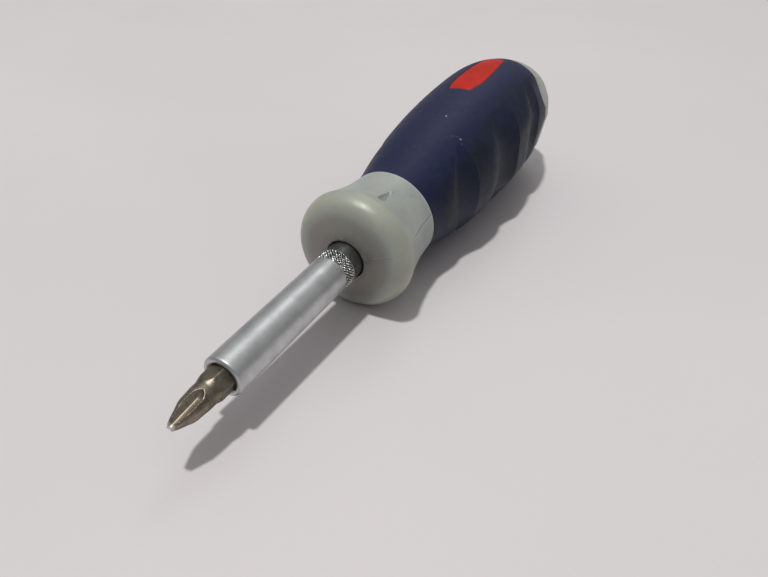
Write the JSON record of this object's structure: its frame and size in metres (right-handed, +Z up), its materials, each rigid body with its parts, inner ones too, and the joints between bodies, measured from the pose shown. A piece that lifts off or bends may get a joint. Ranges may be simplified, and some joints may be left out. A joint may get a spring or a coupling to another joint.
{
  "type": "ratcheting screwdriver",
  "caption": "Ratcheting screwdriver with a fat soft-grip handle, a flared selector collar, a knurled bit-holder shaft with a cross-point bit and a pull-out bit store in the cap.",
  "frame": {"origin": "the point of the driver bit, on the shaft axis", "axes": "+X along the shaft, out of the tip; +Z up with the tool lying on its side and the inlaid badge on top; +Y completes the right-handed frame"},
  "size_m": [0.1965, 0.0404, 0.042],
  "materials": {
    "navy_rubber": "matt, slightly dusty moulded thermoplastic rubber",
    "grey_plastic": "satin moulded plastic, light grey-green",
    "red_plastic": "satin red-orange plastic",
    "satin_chrome": "satin chrome plate, fine lengthwise grain",
    "tool_steel": "sand-blasted tool steel",
    "hard_steel": "oiled hardened steel",
    "bearing_steel": "ground",
    "spring_steel": "drawn wire",
    "black_steel": "black oxide",
    "zinc_casting": "die cast, machined bores",
    "bronze": "sintered bronze",
    "magnet_nickel": "nickel plate",
    "black_nitrile": "matt",
    "black_plastic": "matt moulded"
  },
  "bodies": {
    "handle": {"handle_core": "grey_plastic", "grip_overmould": "navy_rubber", "badge_inlay": "red_plastic", "ratchet_housing": "zinc_casting", "housing_cover": "zinc_casting", "cover_screws": "black_steel", "front_bush": "bronze", "rear_bush": "bronze", "thrust_ball": "bearing_steel", "housing_cross_pin": "bearing_steel", "pawl_pivot_pin": "bearing_steel", "selector_retaining_ring": "spring_steel", "detent_ball": "bearing_steel", "detent_spring": "spring_steel"},
    "selector": {"selector_collar": "grey_plastic", "pawl_plunger": "bearing_steel", "plunger_spring": "spring_steel"},
    "pawl": {"rocker_pawl": "hard_steel"},
    "spindle": {"spindle": "hard_steel", "ratchet_gear": "hard_steel", "spindle_clip": "spring_steel", "bit_holder_tube": "satin_chrome", "socket_magnet": "magnet_nickel", "bit_retaining_ring": "spring_steel"},
    "bit": {"phillips_bit": "tool_steel"},
    "magazine": {"end_cap": "grey_plastic", "cap_oring": "black_nitrile", "bit_rack": "black_plastic", "rack_screw": "black_steel", "spare_bit_phillips_1": "tool_steel", "spare_bit_phillips_3": "tool_steel", "spare_bit_slotted_4": "tool_steel", "spare_bit_slotted_6": "tool_steel", "spare_bit_star_20": "tool_steel", "spare_bit_hex_4": "tool_steel"}
  },
  "joints": [
    {"name": "selector_turn", "type": "hinge", "parent": "handle", "child": "selector", "pos_m": [-0.0765, 0, 0], "axis": [1, 0, 0], "range_deg": [-20, 20]},
    {"name": "pawl_rock", "type": "hinge", "parent": "handle", "child": "pawl", "pos_m": [-0.0725, 0, -0.0093], "axis": [1, 0, 0], "range_deg": [-5, 5]},
    {"name": "spindle_spin", "type": "hinge", "parent": "handle", "child": "spindle", "pos_m": [-0.064, 0, 0], "axis": [1, 0, 0], "continuous": true},
    {"name": "bit_pull", "type": "slide", "parent": "spindle", "child": "bit", "axis": [1, 0, 0], "range_m": [0, 0.012]},
    {"name": "magazine_pull", "type": "slide", "parent": "handle", "child": "magazine", "axis": [-1, 0, 0], "range_m": [0, 0.04]}
  ],
  "couplings": [
    {"joint": "pawl_rock", "follows": "selector_turn", "ratio": 0.23}
  ]
}
